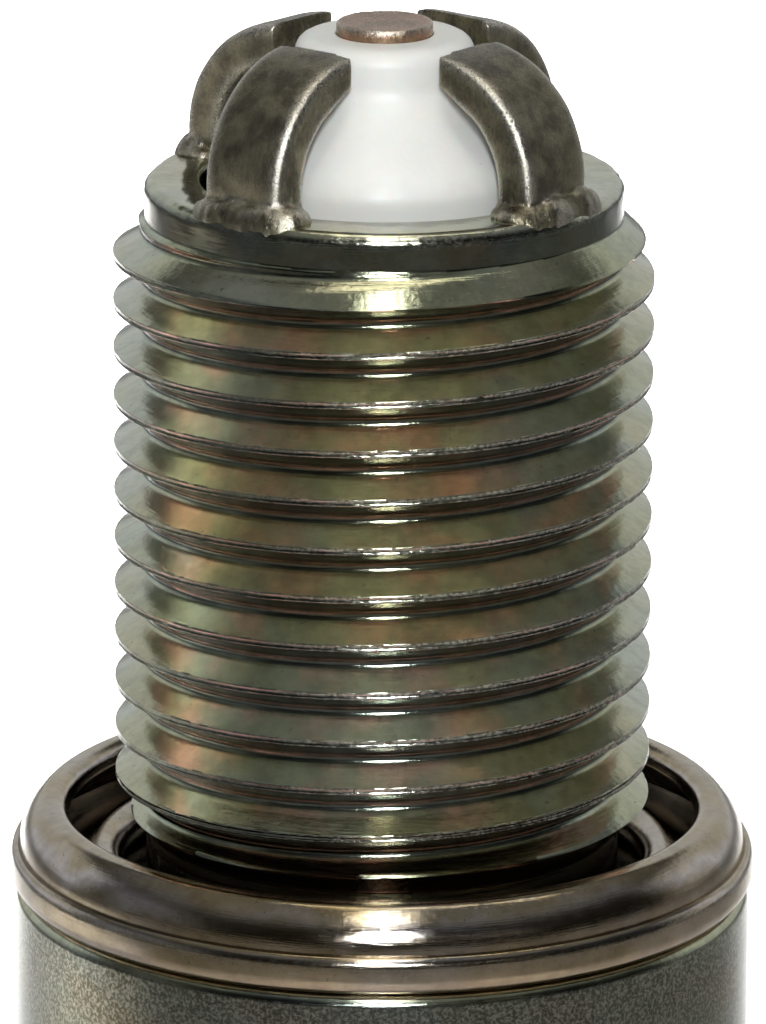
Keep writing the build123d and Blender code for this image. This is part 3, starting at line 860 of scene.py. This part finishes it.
def arm_stations():
    """Pairs of outer and inner points along the arm, foot to tip, in its own plane."""
    inner_r = ARM_BEND_R - ARM_THICKNESS
    foot = [
        ((ARM_FOOT_R, z), (ARM_FOOT_R - ARM_THICKNESS, z))
        for z in np.linspace(REACH - 0.01, ARM_BEND_Z, 8)[:-1]
    ]
    tip_angle = math.acos((ARM_TIP_R - BEND_CENTRE_R) / ARM_BEND_R)
    undercut_angle = math.pi / 2 - ARM_UNDERCUT
    under = np.array((math.cos(undercut_angle), math.sin(undercut_angle))) * inner_r
    under += (BEND_CENTRE_R, ARM_BEND_Z)
    tip_low = np.array((ARM_TIP_R, under[1] + (under[0] - ARM_TIP_R) * math.tan(ARM_UNDERCUT)))
    bend = []
    for t in np.linspace(0, 1, 40):
        outer_angle = tip_angle * t
        outer = np.array((math.cos(outer_angle), math.sin(outer_angle))) * ARM_BEND_R
        outer += (BEND_CENTRE_R, ARM_BEND_Z)
        if outer_angle < undercut_angle:
            inner = np.array((math.cos(outer_angle), math.sin(outer_angle))) * inner_r
            inner += (BEND_CENTRE_R, ARM_BEND_Z)
        else:
            share = (outer_angle - undercut_angle) / (tip_angle - undercut_angle)
            inner = under + (tip_low - under) * share
        bend.append((outer, inner))
    return [(np.array(o), np.array(i)) for o, i in foot + bend]


def arm_mesh():
    """The bent bar, as a closed mesh in millimetres with its plane along +X."""
    stations = arm_stations()
    around = 48
    turn = np.arange(around) * 2 * math.pi / around
    corner = 7                                      # higher is squarer
    across = np.sign(np.cos(turn)) * np.abs(np.cos(turn)) ** (2 / corner)
    through = np.sign(np.sin(turn)) * np.abs(np.sin(turn)) ** (2 / corner)
    points, faces = [], []
    for outer, inner in stations:
        middle = (outer + inner) / 2
        half = (outer - inner) / 2
        for a, t in zip(across, through):
            x, z = middle + half * t
            points.append((x, a * ARM_WIDTH / 2, z))
    for s in range(len(stations) - 1):
        for k in range(around):
            n = (k + 1) % around
            faces.append((s * around + k, s * around + n, (s + 1) * around + n, (s + 1) * around + k))
    faces.append(tuple(range(around)))
    last = (len(stations) - 1) * around
    faces.append(tuple(last + k for k in reversed(range(around))))
    return points, faces


def weld_mesh(generator):
    """Lumpy flash squeezed out round the foot, trimmed level with the pilot band."""
    work = bmesh.new()
    bmesh.ops.create_icosphere(work, subdivisions=5, radius=1.0)
    lumps = [
        (math.radians(generator.uniform(0, 360)), generator.uniform(0.1, 0.22), generator.uniform(0.25, 0.5))
        for _ in range(14)
    ]
    points, faces = [], []
    for vertex in work.verts:
        direction = vertex.co.normalized()
        squareness = (abs(direction.x) ** 3 + abs(direction.y) ** 3) ** (1 / 3) + 1e-9
        flat = math.hypot(direction.x, direction.y)
        x = direction.x / squareness * flat * 0.84
        y = direction.y / squareness * flat * 1.62
        heading = math.atan2(direction.y, direction.x)
        swell = sum(
            height * math.exp(-((math.remainder(heading - at, 2 * math.pi) / width) ** 2))
            for at, height, width in lumps
        )
        z = max(direction.z, 0) ** 0.8 * (0.36 + 0.5 * swell)
        x = (ARM_FOOT_R - 0.42) + x * (1 + 0.15 * swell)
        y = y * (1 + 0.12 * swell)
        reach_out = math.sqrt(max((PILOT_R - 0.02) ** 2 - y * y, 1))
        points.append((min(x, reach_out), y, REACH - 0.02 + z))
    for face in work.faces:
        faces.append(tuple(v.index for v in face.verts))
    work.free()
    return points, faces


def remeshed(points, faces, voxel):
    """One clean skin round overlapping closed meshes, in millimetres."""
    mesh = bpy.data.meshes.new("raw")
    mesh.from_pydata([tuple(p) for p in points], [], faces)
    raw = bpy.data.objects.new("raw", mesh)
    bpy.context.scene.collection.objects.link(raw)
    remesh = raw.modifiers.new("skin", "REMESH")
    remesh.mode = "VOXEL"
    remesh.voxel_size = voxel
    smooth = raw.modifiers.new("smooth", "SMOOTH")
    smooth.factor = 0.5
    smooth.iterations = 2
    depsgraph = bpy.context.evaluated_depsgraph_get()
    result = bpy.data.meshes.new_from_object(raw.evaluated_get(depsgraph))
    points = np.array([tuple(v.co) for v in result.vertices])
    faces = [tuple(p.vertices) for p in result.polygons]
    bpy.data.objects.remove(raw)
    return points, faces


def value_noise(points, cell, generator):
    """Smooth random numbers from -1 to 1 in space, with features about cell millimetres across."""
    size = 24
    table = generator.uniform(-1, 1, (size, size, size))
    position = np.asarray(points) / cell
    low = np.floor(position).astype(int)
    t = position - low
    t = t * t * (3 - 2 * t)
    total = 0
    for corner in range(8):
        dx, dy, dz = corner & 1, (corner >> 1) & 1, corner >> 2
        weight = t[:, 0] if dx else 1 - t[:, 0]
        weight = weight * (t[:, 1] if dy else 1 - t[:, 1])
        weight = weight * (t[:, 2] if dz else 1 - t[:, 2])
        cell_x, cell_y, cell_z = ((low + (dx, dy, dz)) % size).T
        total = total + weight * table[cell_x, cell_y, cell_z]
    return total


def build_arm(number, turn_degrees):
    generator = np.random.default_rng(50 + number)
    points, faces = arm_mesh()
    weld_points, weld_faces = weld_mesh(generator)
    offset = len(points)
    points = points + weld_points
    faces = faces + [tuple(i + offset for i in face) for face in weld_faces]
    points, faces = remeshed(points, faces, 0.05)

    above = points[:, 2] > ARM_BEND_Z
    from_bend = np.where(
        above,
        np.hypot(points[:, 0] - BEND_CENTRE_R, points[:, 2] - ARM_BEND_Z),
        points[:, 0] - BEND_CENTRE_R,
    )
    outer_gap = np.abs(ARM_BEND_R - from_bend)
    inner_gap = np.abs(from_bend - ARM_BEND_R + ARM_THICKNESS)
    side_gap = np.abs(ARM_WIDTH / 2 - np.abs(points[:, 1]))
    edge = np.minimum(np.hypot(outer_gap, side_gap), np.hypot(inner_gap, side_gap))
    # Lighter edges of the bar: partly wear, partly painted highlight where the rounded edges catch the light.
    wear_and_highlight = np.exp(-((edge / 0.22) ** 2)) * (points[:, 2] > REACH + 0.4)
    weld = 1 - smoothstep(points[:, 2], REACH + 0.3, REACH + 0.7)
    lumpy = value_noise(points, 0.16, generator) * 0.03 + value_noise(points, 0.4, generator) * 0.04
    outward = points - np.array((ARM_FOOT_R - 0.5, 0, REACH))
    outward /= np.linalg.norm(outward, axis=1)[:, None] + 1e-9
    moved = points + outward * (lumpy * weld)[:, None]
    moved += value_noise(points, 0.7, generator)[:, None] * 0.012
    moved[:, 2] = np.maximum(moved[:, 2], REACH - 0.02)
    rim = np.hypot(moved[:, 0], moved[:, 1])
    overhang = np.clip(rim - PILOT_R + FACE_CHAMFER, 0, 0.25)
    moved[:, 2] -= overhang * (1 - smoothstep(moved[:, 2], REACH + 0.05, REACH + 0.45))
    trim = np.minimum(1, (PILOT_R - 0.01) / rim)
    moved[:, :2] *= np.where(moved[:, 2] < REACH + 0.6, trim, 1)[:, None]

    turn = math.radians(turn_degrees)
    x = moved[:, 0] * math.cos(turn) - moved[:, 1] * math.sin(turn)
    y = moved[:, 0] * math.sin(turn) + moved[:, 1] * math.cos(turn)
    piece = add_piece(
        f"ground_electrode_{number}_bar",
        np.stack((x, y, moved[:, 2]), axis=1),
        faces,
        "plug",
        [f"ground_electrode_{number}"],
        arm_finish,
        180,
    )
    # Weld lumps lighter where they bulge out: partly rubbed flash, partly painted highlight.
    keep(piece, "wear_and_highlight", wear_and_highlight + weld * 0.5 * smoothstep(lumpy, -0.02, 0.03))


for number in range(4):
    build_arm(number + 1, -39.5 + 90 * number)

# ---- Terminal -----------------------------------------------------------------------------------------
STUD_R = 1.975
NUT_BORE_R = 2.035
NUT_R = 3.175
NUT_TOP_Z = -41.83
END_Z = -50.5


def build_stud():
    pitch = 0.7
    neck_r = 1.496
    rows = thread_rows(pitch, STUD_R, 0.6134 * pitch, 0.1)
    high, low = -42.2, -49.8
    neck_z = -42.3

    def ends(z):
        return np.minimum(neck_r + np.maximum(neck_z - z, 0), neck_r + np.maximum(z - low, 0))

    def smooth(_drop, _turn, _angle):
        return 0.0

    around = 96
    points, faces = threaded_grid(rows, pitch, high, low, high + pitch, around, ends, smooth)
    upper = rounded(
        [
            (0, -10.06, 0),
            (1.5, -10.06, 0.1),
            (1.5, -13.08, 0),
            (1.9, -13.08, 0.1),
            (1.9, -41.0, 0),
            (3.3, -41.0, 0.12),
            (3.3, -41.8, 0.12),
            (neck_r, -41.8, 0.1),
            (neck_r, high, 0),
        ],
        closed=False,
    )
    upper_points = ring_points([tuple(p) for p in upper], around)
    end_points = ring_points([(neck_r, low), (0, low)], around)
    all_faces = ring_faces(len(upper), around, closed=False)
    offset = len(upper_points)
    all_faces += [tuple(i + offset for i in face) for face in faces]
    offset += len(points)
    all_faces += [tuple(i + offset for i in face) for face in ring_faces(2, around, closed=False)]
    piece = add_piece(
        "terminal_stud_body",
        np.concatenate((upper_points, points, end_points)),
        all_faces,
        "plug",
        ["terminal_stud"],
        terminal_finish,
    )


build_stud()
turned(
    "terminal_nut_body",
    rounded(
        [
            (NUT_R, END_Z, 0.7),
            (NUT_BORE_R, END_Z, 0.25),
            (NUT_BORE_R, NUT_TOP_Z, 0.1),
            (NUT_R, NUT_TOP_Z, 0.3),
            (NUT_R, -44.1, 0.15),
            (2.6, -44.675, 0.2),
            (2.6, -45.725, 0.2),
            (NUT_R, -46.3, 0.15),
        ]
    ),
    "terminal_nut",
    ["terminal_nut"],
    terminal_finish,
)

# ---- Pieces inside, which keep their CAD shape ----------------------------------------------------------
inner_finishes = {
    "centre_electrode_copper_core": hidden_metal("core_copper", (0.80, 0.45, 0.32, 1), 0.35),
    "front_glass_seal": pressed_powder("front_seal_glass", (0.10, 0.07, 0.06, 1), (0.45, 0.26, 0.18, 1)),
    "rear_glass_seal": pressed_powder("rear_seal_glass", (0.10, 0.07, 0.06, 1), (0.45, 0.26, 0.18, 1)),
    "resistor": pressed_powder("resistor_carbon", (0.03, 0.03, 0.03, 1), (0.12, 0.11, 0.11, 1)),
    "talc_ring": pressed_powder("talc_powder", (0.62, 0.62, 0.58, 1), (0.78, 0.78, 0.75, 1)),
    "insulator_seat_washer": hidden_metal("washer_steel", (0.50, 0.50, 0.49, 1), 0.4),
    "lower_packing_ring": hidden_metal("lower_ring_steel", (0.50, 0.50, 0.49, 1), 0.4),
    "upper_packing_ring": hidden_metal("upper_ring_steel", (0.50, 0.50, 0.49, 1), 0.4),
}
for node, finish in inner_finishes.items():
    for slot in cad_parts[node].material_slots:
        slot.material = finish

# ---- Floor, light and camera ----------------------------------------------------------------------------
def build_floor():
    size = 3.0
    mesh = bpy.data.meshes.new("floor")
    z = cad_box[0][2] - 0.001
    corners = [(-size, -size, z), (size, -size, z), (size, size, z), (-size, size, z)]
    mesh.from_pydata(corners, [], [(0, 1, 2, 3)])
    floor = bpy.data.objects.new("floor", mesh)
    bpy.context.scene.collection.objects.link(floor)
    paint = Nodes("floor_paint")
    mesh.materials.append(paint.finish((0.93, 0.93, 0.93, 1), 0.0, 0.8))


def area_light(name, place, target, size, power, colour=(1, 1, 1), spread=180):
    """Softbox at place, in metres, turned to target; a spread under 180 degrees is a gridded box."""
    data = bpy.data.lights.new(name, "AREA")
    data.shape = "RECTANGLE"
    data.size, data.size_y = size
    data.energy = power
    data.color = colour
    data.spread = math.radians(spread)
    light = bpy.data.objects.new(name, data)
    bpy.context.scene.collection.objects.link(light)
    light.location = place
    direction = light.location - type(light.location)(target)
    light.rotation_mode = "QUATERNION"
    light.rotation_quaternion = direction.to_track_quat("Z", "Y")
    light.visible_camera = False
    return light


def build_world():
    """Studio surroundings: bright behind, faint to the left, a dim ceiling and dark behind the camera."""
    world = bpy.data.worlds.new("studio")
    bpy.context.scene.world = world
    world.use_nodes = True
    tree = world.node_tree
    background = tree.nodes["Background"]
    coordinates = tree.nodes.new("ShaderNodeTexCoord")
    parts = tree.nodes.new("ShaderNodeSeparateXYZ")
    tree.links.new(coordinates.outputs["Generated"], parts.inputs[0])

    def span(axis, low, high, out_low, out_high):
        node = tree.nodes.new("ShaderNodeMapRange")
        node.interpolation_type = "SMOOTHSTEP"
        tree.links.new(parts.outputs[axis], node.inputs["Value"])
        limits = (("From Min", low), ("From Max", high), ("To Min", out_low), ("To Max", out_high))
        for socket, number in limits:
            node.inputs[socket].default_value = number
        return node.outputs["Result"]

    def combine(operation, a, b):
        node = tree.nodes.new("ShaderNodeMath")
        node.operation = operation
        tree.links.new(a, node.inputs[0])
        tree.links.new(b, node.inputs[1])
        return node.outputs[0]

    below_ceiling = span("Z", 0.48, 0.60, 1.0, 0.0)
    behind = combine("MULTIPLY", span("Y", 0.05, 0.45, 0.0, 0.6), below_ceiling)
    left = combine("MULTIPLY", span("X", -0.97, -0.75, 0.15, 0.0), below_ceiling)
    ceiling = span("Z", 0.45, 0.85, 0.03, 0.22)
    total = combine("ADD", combine("MAXIMUM", behind, left), ceiling)
    tree.links.new(total, background.inputs["Strength"])
    background.inputs["Color"].default_value = (0.97, 0.99, 1.0, 1)


def build_camera():
    """Above the firing end, looking down on it; the frame cuts the plug at the top of the barrel."""
    elevation = math.radians(16.06)
    distance = 210 * MM
    target = (0, 0, 9.825 * MM)
    data = bpy.data.cameras.new("camera")
    data.sensor_width = 36
    data.lens = 288.3                               # millimetres, for a sensor 36 mm wide
    data.clip_start = 0.01
    data.clip_end = 20
    camera = bpy.data.objects.new("camera", data)
    bpy.context.scene.collection.objects.link(camera)
    camera.location = (0, -math.cos(elevation) * distance, target[2] + math.sin(elevation) * distance)
    lean = Matrix.Rotation(math.pi / 2 - elevation, 3, "X") @ Matrix.Rotation(math.radians(0.2), 3, "Z")
    camera.rotation_euler = lean.to_euler()
    bpy.context.scene.camera = camera


build_floor()
build_world()
DAYLIGHT = (0.93, 0.97, 1.0)
LAMP = (1.0, 0.94, 0.78)
FACE = (0, 0, 0.01)
area_light("flash", (0.004, -0.46, 0.19), FACE, (0.03, 0.11), 0.042, DAYLIGHT, spread=24)
area_light("high_strip", (0.0, -0.22, 0.42), FACE, (0.045, 0.34), 0.08, (1.0, 0.98, 0.95), spread=60)
area_light("low_strip", (0.10, -0.42, 0.12), FACE, (0.60, 0.010), 0.018, (1.0, 0.94, 0.84))
area_light("left_panel", (-0.035, 0.06, 0.50), (0, 0, 0.0), (0.12, 0.16), 0.13, LAMP)
area_light("right_panel", (0.11, 0.05, 0.48), (0, 0, 0.0), (0.04, 0.24), 0.08, LAMP)
# Pools of light on the floor, white behind the plug and small ones that the steel reflects
area_light("sweep", (-0.03, 0.30, 0.60), (-0.03, 0.26, -0.05), (0.12, 0.12), 0.5, spread=30)
pools = [
    ("left_pool", (-0.18, 0.04, 0.35), (-0.165, 0.045, -0.05), (0.05, 0.05), 0.08, (1.0, 0.98, 0.90), 28),
    ("front_pool", (-0.006, -0.2, 0.25), (-0.006, -0.053, -0.051), (0.02, 0.02), 0.012, (1, 0.96, 0.85), 9),
    ("side_pool", (0.11, -0.16, 0.25), (0.042, -0.042, -0.051), (0.01, 0.02), 0.008, LAMP, 7),
]
for name, place, target, size, power, colour, spread in pools:
    area_light(name, place, target, size, power, colour, spread=spread)
build_camera()

bpy.context.scene.view_settings.view_transform = "Standard"
